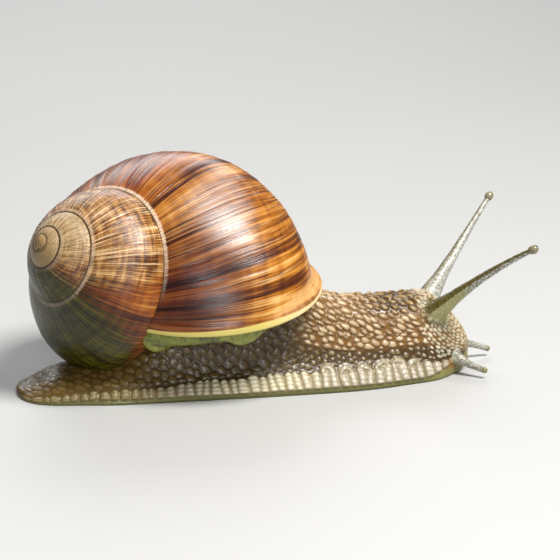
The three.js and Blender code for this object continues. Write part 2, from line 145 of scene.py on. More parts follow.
SKIRT_SHARE = 0.75  # of a low body's height, at the most
SOLE_EDGE, HEAD_SOLE_EDGE, SOLE_EDGE_GROWS = 0.65, 1.3, (27, 33)  # smooth edge under the ribs

# The ribs of the foot's margin stand in pairs, and many of the front ones end in an arch.
RIB_PAIRS = 25  # along the whole body
HALF_PAIR = (SNOUT - TAIL_END) / RIB_PAIRS / 2
RIB_FRONT, RIB_LEAN_GROWS = (4, 12), (-12, 6)
RIB_LEAN, TAIL_RIB_LEAN = 0.1, 0.3
RIB_BEADS_FROM, RIB_BEAD, FRONT_RIB_BEAD = 0.8, 0.5, 0.12
RIB_TOP_SPREAD, RIB_EDGE, RIB_HEIGHT = 0.35, 0.3, 0.45
ARCH_DROP, ARCH_SPREAD, ARCH_SQUAT = 0.55, 0.5, 1.15
ARCH_RADIUS, ARCH_REACH, ARCH_RING = 0.8 * HALF_PAIR, 1.05 * HALF_PAIR, 0.34
PLAIN_PAIRS = 0.35  # share of the pairs that have no arch

LOW_BODY = 4.6  # on a body lower than this the ribs shrink with it
LOWEST_SHARE = 0.3
HEAD_AT, HEAD_REACH = [25.5, 0, 5], 6.5  # what the head's beads are laid round
HEAD_FROM, NECK_GROWS, SKIRT_ENDS = 27, (3, 11), (-33.5, -32, 31, 34)
UPPER_FROM, ROW_SHARE, ZONE_EASE = 0.6, (0.44, 0.46, 0.6, 0.62), 0.03  # shares of the height
CALM_TAIL = (-20, -28)
FLAT_SOLE, SOLE_EASE = 0.12, 0.4
SKIN_VOXEL, SKIN_ROUNDS = 0.17, 4
MANTLE_VOXEL, MANTLE_ROUNDS = 0.25, 6

# Patterns of oval beads: their height, length and width, the tilt of their long axes
# in degrees, half of a bead as a part of its cell, and a seed.
UPPER_BEADS = (0.38, 1.85, 0.8, 34, 0.46, 11)
ROW_BEADS = (0.28, 1.5, 0.9, 14, 0.44, 12)
LOWER_BEADS = (0.16, 1.15, 0.85, 25, 0.26, 13)
HEAD_BEADS = (0.2, 1.0, 0.56, 52, 0.56, 14)
FLANK_BEADS = (0.13, 1.45, 1.15, 28, 0.58, 15)
TENTACLE_BEADS = (0.06, 0.42, 0.3, 40, 0.6, 21)

ORAL_LOBE_AT, ORAL_LOBE_SIZE = np.array([33.9, 2.1, 1.9]), np.array([1.7, 1.25, 1.15])

# Tentacles: root, tip and the bow between them; then radii by parts of the length.
UPPER = {
    RIGHT: ([27.6, -2.2, 7.2], [41.6, -14.7, 21.8], [0, 0.2, 1.9]),
    LEFT: ([28.2, 2.0, 7.1], [43.9, 14.2, 23.7], [0, 0, 0.2]),
}
UPPER_RADII = [[0, 2.2], [0.22, 1.5], [0.32, 1.06], [0.5, 0.72], [0.75, 0.48], [1, 0.35]]
BULB_START, BULB_LENGTH, BULB_RADIUS, BULB_OVERLAP = 0.94, 1.7, 0.68, 0.02
LOWER = {
    RIGHT: ([32.0, -3.4, 3.2], [36.5, -7.6, 1.3], [0, 0, -0.5]),
    LEFT: ([32.8, 1.5, 3.8], [40.4, 3.4, 1.25], [0, 0, 0.3]),
}
LOWER_RADII = [[0, 1.2], [0.25, 1], [0.5, 0.62], [0.7, 0.48], [1, 0.4]]
LOWER_END, LOWER_BULB_LENGTH, LOWER_BULB_RADIUS = 0.97, 1.1, 0.48
UPPER_SPREAD, LOWER_SPREAD, SPREAD_EASE = 1.75, 1.25, 0.4  # of their skin, in radii
TENTACLE_FROM, TENTACLE_ROOT = 27, (0.1, 0.18)
EYE_WAY, EYE_TIP, EYE_ZONE = np.array([0.1, 0, 0.6]), 0.75, (0.93, 0.96)

# The mantle's roll round the mouth: degrees, radius, growth that it stands out.
MANTLE_ROLL = [
    [-56, 1.3, 0.04], [-48, 1.9, 0.17], [-40, 1.8, 0.16], [-30, 1.5, 0.1], [-20, 1.4, 0.08], [-9, 1.3, 0.06],
    [0, 1.4, 0.055], [8, 1.7, 0.09], [16, 1.6, 0.08], [26, 1.2, 0.03], [45, 0.9, 0.02], [80, 0.8, 0],
    [120, 0.8, 0], [165, 0.8, 0],
]
MANTLE_GAP = 0.3  # from the inside of the shell
PLUG_GROWTH, PLUG_ROUND = (-0.235, 0.05), radians([-84, 178])
PLUG_ROWS, PLUG_COLUMNS = 12, 80
LAPPET_AT, LAPPET_SIZE = np.array([-13.5, -9.8, 10.4]), np.array([2.5, 1.4, 2.3])
MANTLE_FOLDS = 0.12  # their height

# ---------------- camera, lamps and floor
CAMERA_TARGET = np.array([6.51, 0, 15.1])
CAMERA_DISTANCE = 300
CAMERA_AZIMUTH, CAMERA_ELEVATION = radians([-12, 15])
LENS, SENSOR, NEAREST_VIEW = 128.57, 36, 10
BACKDROP_AT = (60, 690, 0)
# Lamps: place, size, watts, colour and what each one faces.
LAMPS = {
    "key": ((150, -172, 420), 165, 4.4, (1.0, 0.985, 0.96), CAMERA_TARGET),
    "glint": ((-20, -420, 150), 110, 0.6, (0.94, 0.97, 1.0), CAMERA_TARGET),
    "back": ((-60, 320, 240), 260, 0.16, (1.0, 1.0, 1.0), CAMERA_TARGET),
    "backdrop": ((60, 700, 420), 600, 4.0, (1.0, 1.0, 1.0), BACKDROP_AT),
}
SKY, SKY_STRENGTH = (0.95, 0.97, 1.0, 1), 0.18
FLOOR_REACH = 3000

# ---------------- paints
# Every paint is multiplied by this grey, because the lamps are strong.
PAINT_DEPTH = (206, 206, 206)

# Streaks of the shell: what they go along, how many to a unit of it and to a radian
# round the oval, seed, detail and roughness.
STREAKS = {
    "broad": ("line", 6, 0.4, 0, 2, 0.55),
    "fine": ("line", 34, 0.7, 3, 3, 0.55),
    "hair": ("line", 125, 1.4, 7, 2, 0.55),
    "pale": ("line", 52, 0.9, 11, 3, 0.55),
    "radial": ("line", 26, 0.5, 17, 2, 0.55),
    "beads": ("line", 60, 0.1, 13, 1, 0.55),
    "spiral": ("growth", 2.4, 9, 5, 1, 0.5),
}
# How far these streaks swing the tone of the last whorl, the middle one and the early ones.
TONE_STREAKS = ("broad", "fine", "hair", "spiral")
BODY_TONE, MIDDLE_TONE, EARLY_TONE = (1.3, 1.5, 0.9, 0.4), (1.0, 1.1, 0.5, 1.5), (0.8, 1.0, 0.8, 0.6)
BODY_PAINT = [(0.02, (74, 32, 16)), (0.24, (110, 56, 14)), (0.5, (176, 104, 24)), (0.72, (216, 146, 56)),
              (0.95, (250, 204, 126))]
MIDDLE_PAINT = [(0.08, (64, 30, 6)), (0.36, (116, 66, 18)), (0.6, (164, 106, 42)), (0.95, (222, 174, 112))]
EARLY_PAINT = [(0.1, (116, 82, 38)), (0.5, (162, 128, 76)), (0.9, (218, 190, 140))]
FIRST_PAINT = [(0.1, (156, 124, 74)), (0.9, (196, 164, 116))]
# OLIVE_REFLECTION_PAINT is a painted reflection of green surroundings on the older whorls.
OLIVE_REFLECTION_PAINT = [(0.2, (20, 18, 1)), (0.5, (58, 60, 1)), (0.9, (116, 114, 16))]
NEAR_LIP_PAINT = [(0.0, (192, 110, 30)), (0.6, (232, 180, 116))]
RIM_PAINT = [(0.3, (230, 210, 114)), (0.8, (248, 216, 160))]
# How strong the suture's seam is, by parts of the way from the lip to the apex.
SEAM_STRENGTH = [(0.015, (0, 0, 0)), (0.045, (255, 255, 255)), (0.26, (255, 255, 255)),
                 (0.28, (180, 180, 180)), (0.54, (150, 150, 150)), (0.7, (40, 40, 40))]
PALE_LINE, CRISP_LINE, SEAM, DARK_SEAM = (250, 216, 156), (240, 208, 164), (252, 222, 190), (58, 38, 16)
# PAINTED_SHEEN is a painted highlight: a pale patch high on the last whorl.
PAINTED_SHEEN, INSIDE = (234, 216, 206), (208, 186, 104)
# LOW_STAIN_AND_SHADE darkens the low parts of the last whorl: partly a darker colour, partly painted shade.
LOW_STAIN_AND_SHADE, PAINTED_SHADE, OLD_STAIN = (132, 74, 14), (176, 150, 110), (208, 168, 100)

# Zones of the shell's paint, each from where it starts to where it is full. The rim's
# and the lip's change with the place round the oval.
TO_MIDDLE, TO_EARLY = (-TURN + 0.15, -TURN - 0.15), (-2 * TURN + 0.3, -2 * TURN - 0.8)
TO_FIRST, TO_OLD = (-2.55 * TURN, -3 * TURN), (-1.25, -1.75)
LOW_ROUND, LOW_GROWTH = (0.5, -0.45), (-1.6, -0.5)
# Where the painted highlight lies: growth and place round the oval.
SHEEN_GROWTH, SHEEN_ROUND = ((-1.38, -1.1), (-0.62, -0.9)), ((-0.42, -0.12), (0.48, 0.2))
RIM_ROUND, RIM_STARTS, RIM_FULL = (0.2, 1.1), (-0.042, -0.016), (-0.035, -0.01)
LIP_ROUND, LIP_WIDTH, LIP_ZONE = (0.1, 0.9), (0.03, 0.1), (-1.5, -0.7)

MOTTLE = (96, 70, 40)
# The tentacles are dark on these sides, the near ones and the far ones.
DARK_NEAR_WAY, DARK_FAR_WAY = np.array([-0.5, 0.1, 0.85]), np.array([-0.95, -0.1, 0.3])
MANTLE_PAINT = [(0.3, (88, 92, 14)), (0.5, (146, 152, 44)), (0.8, (206, 206, 96))]
BULB_PAINT = [(0.3, (118, 110, 78)), (0.6, (150, 142, 108)), (0.85, (184, 176, 150))]
EYE = (26, 22, 18)
FLOOR_PAINT = [(0.3, (206, 206, 204)), (0.7, (210, 210, 208))]


# ---------------- small helpers
def smooth(value):
    """0 up to 0, 1 from 1 on, eased in between."""
    value = np.clip(value, 0, 1)
    return value * value * (3 - 2 * value)


def eased(value, start, full):
    """0 before start and 1 past full, which may be the lower of the two."""
    return smooth((value - start) / (full - start))


def band(value, start, full, end_full, end):
    """Rises from start to full and falls again from end_full to end."""
    return eased(value, start, full) * eased(value, end, end_full)


def unit(vector):
    return vector / np.linalg.norm(vector, axis=-1, keepdims=True)


def scatter(*numbers):
    """The same value between 0 and 1 each time for the same numbers."""
    total = sum(np.asarray(n) * k for n, k in zip(numbers, (127.1, 311.7, 74.7)))
    return np.sin(total) * 43758.5453 % 1


def ripples(u, v, seed):
    """Smooth wandering values between 0 and 1, with about one swing in each unit."""
    column, row = np.floor(u), np.floor(v)
    across, up = smooth(u - column), smooth(v - row)
    low, high = [scatter(column, row + k, seed) * (1 - across) + scatter(column + 1, row + k, seed) * across
                 for k in (0, 1)]
    return low * (1 - up) + high * up


def cells(u, v, seed):
    """In a plane of scattered cells about 1 across: how far each point is from the border
    and from the cell's centre, and the cell's own number between 0 and 1."""
    column, row = np.floor(u), np.floor(v)
    nearest = np.full(np.shape(u), 9.0)  # farther than any centre
    second = nearest.copy()
    number = np.zeros(np.shape(u))
    for right in (-1, 0, 1):
        for up in (-1, 0, 1):
            a, b = column + right, row + up
            centre_u = a + 0.25 + 0.5 * (b % 2) + 0.5 * (scatter(a, b, seed) - 0.5)
            centre_v = b + 0.5 + 0.5 * (scatter(a, b, seed + 1) - 0.5)
            distance = np.hypot(centre_u - u, centre_v - v)
            closer = distance < nearest
            second = np.where(closer, nearest, np.minimum(second, distance))
            number = np.where(closer, scatter(a, b, seed + 2), number)
            nearest = np.where(closer, distance, nearest)
    return second - nearest, nearest, number


def beads(u, v, pattern, fuller=0):
    """Heights, 0 to 1, of a pattern's beads over a plane, and each bead's own number."""
    _, long, wide, tilt, fill, seed = pattern
    tilt = radians(tilt)
    along = u * math.cos(tilt) - v * math.sin(tilt)
    across = u * math.sin(tilt) + v * math.cos(tilt)
    border, centre, number = cells(along / long, across / wide, seed)
    reach = (fill + fuller) * (0.65 + 0.7 * number)
    dome = np.sqrt(np.clip(1 - (centre / reach) ** 2, 0, 1))
    return dome * smooth(border / 0.22), scatter(number, seed)


def linear(red, green, blue):
    """A colour of 0 to 255 parts as Blender's linear one."""
    parts = np.array([red, green, blue]) / 255
    return np.where(parts <= 0.04045, parts / 12.92, ((parts + 0.055) / 1.055) ** 2.4)


def mesh_object(name, points, faces):
    """An object of points in millimetres, in the scene."""
    mesh = bpy.data.meshes.new(name)
    mesh.from_pydata((np.asarray(points) * MM).tolist(), [], [list(face) for face in faces])
    thing = bpy.data.objects.new(name, mesh)
    bpy.context.scene.collection.objects.link(thing)
    mesh.shade_smooth()
    return thing


def grid_faces(rows, columns, closed=False):
    """Quads of a grid of points, wound round if its columns close."""
    i, j = np.meshgrid(np.arange(rows - 1), np.arange(columns if closed else columns - 1), indexing="ij")
    after = (j + 1) % columns
    quads = [i * columns + j, i * columns + after, (i + 1) * columns + after, (i + 1) * columns + j]
    return np.stack(quads, axis=-1).reshape(-1, 4).tolist()


def stack_faces(rows, columns):
    """Quads of a stack of rings, with a face over each end."""
    ends = [list(range(columns))[::-1], [(rows - 1) * columns + k for k in range(columns)]]
    return grid_faces(rows, columns, closed=True) + ends


def merged(parts):
    """Several parts' points and faces as one."""
    faces, count = [], 0
    for points, own_faces in parts:
        faces.extend([[k + count for k in face] for face in own_faces])
        count += len(points)
    return np.concatenate([points for points, _ in parts]), faces


def store(mesh, **stored):
    """Values or colours for each point of a mesh, for the materials to read."""
    for name, values in stored.items():
        values = np.asarray(values, np.float32)
        if values.ndim == 1:
            mesh.attributes.new(name, "FLOAT", "POINT").data.foreach_set("value", values)
        else:
            colours = np.ones((len(values), 4), np.float32)
            colours[:, :3] = values
            mesh.attributes.new(name, "FLOAT_COLOR", "POINT").data.foreach_set("color", colours.ravel())


def vectors_of(items, what):
    values = np.empty(len(items) * 3, np.float32)
    items.foreach_get(what, values)
    return values.reshape(-1, 3).astype(float)


def points_of(mesh):
    return vectors_of(mesh.vertices, "co") / MM


def normals_of(mesh):
    return vectors_of(mesh.vertex_normals, "vector")


def set_points(mesh, points):
    mesh.vertices.foreach_set("co", (points * MM).astype(np.float32).ravel())
    mesh.update()


# ---------------- shell form
axis_up = np.array([
    -math.cos(AXIS_RISE) * math.cos(AXIS_SWING),
    -math.cos(AXIS_RISE) * math.sin(AXIS_SWING),
    math.sin(AXIS_RISE),
])
axis_top = unit(UP - axis_up * axis_up[2])
axis_side = np.cross(axis_up, axis_top)
growth_rate = math.log(GROWTH) / TURN

lip_normal = np.array([
    math.sin(PLANE_LEAN),
    math.cos(PLANE_LEAN) * math.cos(PLANE_SLANT),
    -math.cos(PLANE_LEAN) * math.sin(PLANE_SLANT),
])
lip_down = unit(lip_normal * lip_normal[2] - UP)
lip_out = np.cross(lip_down, lip_normal)


def lip_point(angle, inset):
    """Points of the lip's oval in the axis's frame: radial, growth and axial."""
    half = np.where(np.sin(angle) > 0, LIP_HALF_BELOW, LIP_HALF_ABOVE)
    x = (LIP_HALF_WIDTH - inset) * np.cos(angle)
    y = (half - inset) * np.sin(angle)
    across = LIP_ACROSS + x * math.cos(LIP_TWIST) - y * math.sin(LIP_TWIST)
    down = LIP_DOWN + x * math.sin(LIP_TWIST) + y * math.cos(LIP_TWIST)
    start = np.array([SUTURE_RADIUS, 0, -SUTURE_DEPTH])
    return start + across[..., None] * lip_out + down[..., None] * lip_down


def grown(local, growth):
    """Points of the lip carried back by a growth angle, in the body's frame."""
    size = np.exp(growth_rate * growth)
    turn = LIP_TURN + growth + np.arctan2(local[..., 1], local[..., 0])
    radius = size * np.hypot(local[..., 0], local[..., 1])
    rise = (local[..., 2] + SUTURE_DEPTH) * size - SUTURE_DEPTH * size ** DOME
    return (APEX + (radius * np.cos(turn))[..., None] * axis_top
            - (radius * np.sin(turn))[..., None] * axis_side + rise[..., None] * axis_up)


def flare_at(angle, growth):
    """How far the lip turns out."""
    along = smooth(1 + np.minimum(growth, 0) / FLARE_GROWTH)
    return FLARE * along * along * band(angle, *FLARE_ROUND)


def suture_angle(growth):
    """Where on the oval a whorl leaves the one before it."""
    turns = np.maximum(-growth / TURN - SUTURE_STEADY, 0)
    return radians(SUTURE_AT - SUTURE_FALL * turns ** SUTURE_POWER)


def lines_at(growth, angle):
    """The growth line through a point: the lines lean more towards the apex."""
    return growth - (LIP_LEAN + EXTRA_LEAN * eased(growth, *LEAN_ZONE)) * angle


def growth_relief(growth, angle):
    """Height of the raised growth lines, away from the suture, the lip and the apex."""
    line = lines_at(growth, angle)
    broad = ripples(line * BROAD_LINES, 0, 1) - 0.5
    fine = ripples(line * FINE_LINES, 0, 2) - 0.5
    past_suture = smooth((angle - suture_angle(growth)) / RELIEF_PAST_SUTURE)
    past_lip = smooth(-growth / RELIEF_PAST_LIP)
    past_apex = smooth((growth + SMOOTH_WHORLS * TURN) / SMOOTH_FADE)
    return (BROAD_HEIGHT * broad + FINE_HEIGHT * fine) * past_suture * past_lip * past_apex


def bundles_at(growth, angle):
    """How far a point lies within a dark bundle, 0 to about 1."""
    line = lines_at(growth, angle)
    total = np.zeros(np.shape(line))
    for place, half, start, end, strength in DARK_BUNDLES:
        start, end = radians([start, end])
        across = np.exp(-((line - place) / half) ** 2)
        along = band(angle, start, start + BUNDLE_EASE, end - BUNDLE_EASE, end)
        total = np.maximum(total, strength * across * along)
    return total


def shell_rows():
    """Growth and inset of the rows: closed start, outer face, rounded edge, inside."""
    start = np.linspace(math.pi / 2, 0, START_ROWS + 1)[:-1]
    outer = np.linspace(START, 0, int(WHORLS * ROWS_IN_A_TURN))
    edge = np.linspace(0, math.pi, EDGE_ROWS + 2)[1:-1]
    inner = np.linspace(0, -INNER_REACH, INNER_ROWS)
    growth = np.concatenate([START - START_REACH * np.sin(start), outer, EDGE_REACH * np.sin(edge), inner])
    closing = START_CLOSED * LIP_HALF_WIDTH * (1 - np.cos(start))
    inset = np.concatenate([closing, 0 * outer, WALL * (1 - np.cos(edge)) / 2, WALL + 0 * inner])
    return growth, inset


def store_green_reflection_and_shade(mesh, growth):
    """Marks the older whorls' painted reflection of green surroundings, and the band of painted shade along
    it.
    """
    facing = normals_of(mesh) @ unit(GREEN_WAY)
    turns = -growth / TURN
    start = GREEN_FACING + THIRD_FACING * smooth((turns - THIRD_FROM) / THIRD_EASE)
    older = band(turns, *GREEN_TURNS)
    store(mesh, green=older * smooth((facing - start) / GREEN_EASE),
          shade=older * smooth((facing - start + GREEN_EASE) / (2 * GREEN_EASE)))


def build_shell():
    """The shell's outer face, round the edge of the lip and back inside, and its first whorl."""
    row_growth, row_inset = shell_rows()
    face_angles = np.linspace(FACE_TO, FACE_FROM, FACE_COLUMNS)
    growth, angle = np.meshgrid(row_growth, face_angles, indexing="ij")
    inset = np.repeat(row_inset[:, None], FACE_COLUMNS, axis=1)
    raised = growth_relief(growth, angle) * (inset == 0)
    points = grown(lip_point(angle, inset - flare_at(angle, growth) - raised), growth)
    nucleus = ball(APEX - NUCLEUS_DEPTH * axis_up, [NUCLEUS_RADIUS] * 3, NUCLEUS_SIDES)
    face = (points.reshape(-1, 3), grid_faces(len(row_growth), FACE_COLUMNS))
    shell = mesh_object("shell_visual", *merged([face, nucleus]))

    steps = np.linalg.norm(np.diff(points, axis=1, prepend=points[:, :1]), axis=2)
    arc = np.cumsum(steps, axis=1)
    sutures = zip(suture_angle(row_growth), arc)
    at_suture = np.array([np.interp(-place, -face_angles, row) for place, row in sutures])
    # each value on the face, and on the nucleus
    values = {
        "growth": (growth, START),
        "around": (angle, 0),
        "line": (lines_at(growth, angle), START),
        "bundle": (bundles_at(growth, angle), 0),
        "suture": (at_suture[:, None] - arc, NO_SUTURE),
        "inside": (np.where(growth < START, 0, inset / WALL), 0),
    }
    stored = {name: np.concatenate([on_face.ravel(), np.full(len(nucleus[0]), float(on_nucleus))])
              for name, (on_face, on_nucleus) in values.items()}
    store(shell.data, **stored)
    store_green_reflection_and_shade(shell.data, stored["growth"])
    return shell


# ---------------- body form
def station(x):
    """Sole's and back's half widths, top and underside at places along the body."""
    at = np.clip(np.searchsorted(BODY[:, 0], x), 1, len(BODY) - 1)
    rows = [BODY[np.clip(at + k, 0, len(BODY) - 1)] for k in (-2, -1, 0, 1)]
    span = (rows[2] - rows[1])[:, :1]
    t = (x[:, None] - rows[1][:, :1]) / span

    def slope(before, after):
        width = after[:, :1] - before[:, :1]
        return np.where(width == 0, 0, (after - before) / np.where(width == 0, 1, width)) * span

    curve = ((2 * t ** 3 - 3 * t ** 2 + 1) * rows[1] + (t ** 3 - 2 * t ** 2 + t) * slope(rows[0], rows[2])
             + (3 * t ** 2 - 2 * t ** 3) * rows[2] + (t ** 3 - t ** 2) * slope(rows[1], rows[3]))
    return curve[:, 1], curve[:, 2], curve[:, 3], curve[:, 4]


def sections(x):
    """The body's right-hand profile at places along it, from sole to ridge: y and z."""
    sole, back, top, under = [row[:, None] for row in station(x)]
    height = top - under
    rise = height * np.sin(np.linspace(0, math.pi / 2, PROFILE_POINTS))
    round_off = np.maximum(0, 1 - (rise / height) ** 2)
    skirt = np.minimum(SKIRT_HEIGHT, height * SKIRT_SHARE)
    spread = np.maximum(sole - back, 0) * np.exp(-((rise / skirt) ** 2)) * np.sqrt(round_off)
    return np.maximum(back * round_off ** BACK_ROUNDNESS + spread, 0), rise + under


def body_mesh():
    """Points and faces of the plain body."""
    x = np.linspace(TAIL_END, SNOUT, BODY_ROWS)
    half, z = sections(x)
    half[:, 0] -= np.minimum(SOLE_ROUNDING, half[:, 0] * SOLE_ROUNDING_SHARE)
    y = np.concatenate([-half, half[:, -2::-1]], axis=1)
    z = np.concatenate([z, z[:, -2::-1]], axis=1)
    points = np.stack([np.repeat(x[:, None], y.shape[1], axis=1), y, z], axis=-1)
    return points.reshape(-1, 3), stack_faces(BODY_ROWS, y.shape[1])


class Curve:
    """A centre line that pieces are swept along."""

    def __init__(self, line):
        self.line = line
        steps = np.linalg.norm(np.diff(line, axis=0), axis=1)
        self.run = np.concatenate([[0], np.cumsum(steps)])
        self.length = self.run[-1]
        self.end_way = unit(line[-1] - line[-2])

    def point(self, part):
        """The point at a part of the length; past 1 it runs straight on."""
        distance = np.clip(part, 0, 1) * self.length
        along = np.array([np.interp(distance, self.run, self.line[:, k]) for k in range(3)]).T
        return along + np.maximum(part - 1, 0)[..., None] * self.length * self.end_way

    def nearest(self, points):
        """For points, the part of the length beside them and the distance from it."""
        line, run = self.line[::4], self.run[::4]
        squared = ((points[:, None, :] - line[None]) ** 2).sum(axis=2)
        best = squared.argmin(axis=1)
        return run[best] / self.length, np.sqrt(squared[np.arange(len(points)), best])


def bent(root, tip, bow):
    """A tentacle's centre line, bent once between its root and its tip."""
    root, tip = np.array(root, float), np.array(tip, float)
    bend = (root + tip) / 2 + np.array(bow, float)
    t = np.linspace(0, 1, 201)[:, None]
    return Curve((1 - t) ** 2 * root + 2 * t * (1 - t) * bend + t ** 2 * tip)


def tube(curve, start, end, radius, steps, sides):
    """Points and faces of a round piece along a curve, closed at both ends."""
    part = np.linspace(start, end, steps)
    centre = curve.point(part)
    along = unit(np.gradient(centre, axis=0))
    across = unit(UP - along * along[:, 2:3])
    beside = np.cross(along, across)
    angle = np.linspace(0, TURN, sides, endpoint=False)[:, None]
    wide = radius(part, (part - start) / (end - start))
    ring = across[:, None, :] * np.cos(angle) + beside[:, None, :] * np.sin(angle)
    points = centre[:, None, :] + wide[:, None, None] * ring
    return points.reshape(-1, 3), stack_faces(steps, sides)


def tapered(table):
    """A radius by parts of the whole length."""
    places, radii = np.array(table).T
    return lambda part, own: np.interp(part, places, radii)


def rounded(size):
    """The radius of a bulb, by parts of its own length."""
    return lambda part, own: size * np.sqrt(np.maximum(0.02, 1 - (2 * own - 1) ** 2))


def ball(at, size, steps=24):
    """Points and faces of an ellipsoid."""
    lift = np.linspace(-math.pi / 2, math.pi / 2, steps)[:, None]
    angle = np.linspace(0, TURN, steps, endpoint=False)
    ring = np.broadcast_arrays(np.cos(lift) * np.cos(angle), np.cos(lift) * np.sin(angle), np.sin(lift))
    ring = np.stack(ring, axis=-1)
    return (np.asarray(at) + ring * np.asarray(size)).reshape(-1, 3), grid_faces(steps, steps, closed=True)


def joined(name, parts, voxel, rounds):
    """Closed parts merged into one smooth surface of fine, even faces."""
    thing = mesh_object(name, *merged(parts))
    made = bmesh.new()
    made.from_mesh(thing.data)
    bmesh.ops.remove_doubles(made, verts=made.verts, dist=1e-7)
    bmesh.ops.recalc_face_normals(made, faces=made.faces)
    made.to_mesh(thing.data)
    made.free()
    remesh = thing.modifiers.new("even faces", "REMESH")
    remesh.mode = "VOXEL"
    remesh.voxel_size = voxel * MM
    ease = thing.modifiers.new("smoothing", "SMOOTH")
    ease.factor = 0.5
    ease.iterations = rounds
    graph = bpy.context.evaluated_depsgraph_get()
    thing.data = bpy.data.meshes.new_from_object(thing.evaluated_get(graph))
    thing.modifiers.clear()
    thing.data.shade_smooth()
    return thing


uppers = {side: bent(*UPPER[side]) for side in SIDES}
lowers = {side: bent(*LOWER[side]) for side in SIDES}


def arc_of(points):
    """For points on the skin: distance round the section from the sole's edge."""
    x = np.linspace(TAIL_END + 0.01, SNOUT - 0.01, ARC_ROWS)
    half, z = sections(x)
    _, _, top, under = station(x)
    middle = under + 0.3 * (top - under)
    turn = np.arctan2(z - middle[:, None], half)
    steps = np.hypot(np.diff(half, axis=1, prepend=half[:, :1]), np.diff(z, axis=1, prepend=z[:, :1]))
    arc = np.cumsum(steps, axis=1)
    place = np.clip((points[:, 0] - x[0]) / (x[1] - x[0]), 0, len(x) - 1.001)
    row = place.astype(int)
    part = place - row
    centre = middle[row] * (1 - part) + middle[row + 1] * part
    own_turn = np.arctan2(points[:, 2] - centre, abs(points[:, 1]))
    found = np.zeros(len(points))
    for r in range(len(x) - 1):
        here = row == r
        low, high = [np.interp(own_turn[here], turn[k], arc[k]) for k in (r, r + 1)]
        found[here] = low * (1 - part[here]) + high * part[here]
    return found


def skirt_top(x):
    """Height of the ribbed margin at places along the body."""
    return TAIL_SKIRT_HEIGHT + (SKIRT_HEIGHT - TAIL_SKIRT_HEIGHT) * eased(x, *SKIRT_GROWS)


def sole_edge(x):
    """Height of the smooth edge under the ribs, which widens under the head."""
    return SOLE_EDGE + HEAD_SOLE_EDGE * eased(x, *SOLE_EDGE_GROWS)


def skirt_ribs(x, rise, side):
    """Height, 0 to 1, of the paired upright ribs along the foot's margin, and where they are."""
    front = eased(x, *RIB_FRONT)
    lean = (RIB_LEAN - TAIL_RIB_LEAN * (1 - eased(x, *RIB_LEAN_GROWS))) * rise
    wander = 0.3 * (ripples(x * 0.7, rise * 0.3, 5) - 0.5)
    place = (x + lean - TAIL_END) / (SNOUT - TAIL_END) * RIB_PAIRS + wander
    pair = np.floor(place)
    off_pair = 2 * (place - pair) - 1
    off_rib = 2 * abs(off_pair) - 1
    upright = 1 - np.where(off_rib < 0, 0.75, 1) * abs(off_rib) ** 2.4
    number = scatter(2 * pair + (off_pair > 0), side, 6)
    top = skirt_top(x) + RIB_TOP_SPREAD * (number - 0.5)

    level = (rise - RIB_BEADS_FROM) / (RIB_BEAD + FRONT_RIB_BEAD * front) + 0.9 * number
    level = level + 0.3 * ripples(x * 2, rise * 2, 16)
    off_bead = 2 * (level - np.floor(level)) - 1
    beaded = upright * (1 - (0.5 - 0.2 * front) * abs(off_bead) ** 3)

    arch_at = top - ARCH_DROP + ARCH_SPREAD * (scatter(pair, side, 7) - 0.5)
    away = np.hypot(off_pair * HALF_PAIR, ARCH_SQUAT * np.maximum(rise - arch_at, 0))
    ring = (0.25 + 0.35 * scatter(pair, side, 17)) * np.exp(-((away - ARCH_RADIUS) / ARCH_RING) ** 2)
    inner = 0.7 * smooth((ARCH_RADIUS - away) / RIB_EDGE) * ripples(x * 2.6, rise * 3.5, 15)
    arched = front * smooth((scatter(pair, side, 27) - PLAIN_PAIRS) / 0.1)
    in_arch = arched * smooth((rise - arch_at) / RIB_EDGE)
    height = beaded * (1 - in_arch) + (ring + inner) * in_arch

    arch_top = arch_at + ARCH_REACH * np.sqrt(np.clip(1 - off_pair ** 2, 0, 1))
    line = (top - 0.35 * off_rib ** 2) * (1 - arched) + arch_top * arched
    mask = smooth((rise - sole_edge(x)) / RIB_EDGE) * smooth((line - rise) / RIB_EDGE + 0.5)
    return np.clip(height, 0, 1), mask


def bead_patterns(points, share):
    """The skin's patterns of beads: where each one lies, its height, and its beads."""
    x, y, z = points.T
    arc = arc_of(points)
    u = x + 0.5 * ripples(x * 0.5, arc * 0.5, 8) + 100 * (y > 0)
    v = arc + 0.4 * ripples(x * 0.6 + 9, arc * 0.6, 9)
    # round the head the beads follow its own rounding
    nod = np.arctan2(x - HEAD_AT[0], np.hypot(y, z - HEAD_AT[2])) * HEAD_REACH
    round_head = np.arctan2(z - HEAD_AT[2], abs(y)) * HEAD_REACH
    front = eased(x, *NECK_GROWS)
    head = smooth((x - HEAD_FROM + 1.6 * (share - 0.5) - 1.2 * ripples(v, u * 0.3, 18)) / 0.7)
    neck = front * (1 - head)
    places = [
        (neck * smooth((share - UPPER_FROM) / ZONE_EASE), UPPER_BEADS, u, v, 0),
        (neck * band(share, *ROW_SHARE), ROW_BEADS, u, v, 0),
        (neck * smooth((ROW_SHARE[0] - share) / ZONE_EASE), LOWER_BEADS, u, v, 0.14 * ripples(u, v, 19)),
        (head, HEAD_BEADS, nod, round_head, 0),
        (1 - front, FLANK_BEADS, u, v, 0),
    ]
    return [(weight, pattern[0], *beads(a, b, pattern, fuller)) for weight, pattern, a, b, fuller in places]


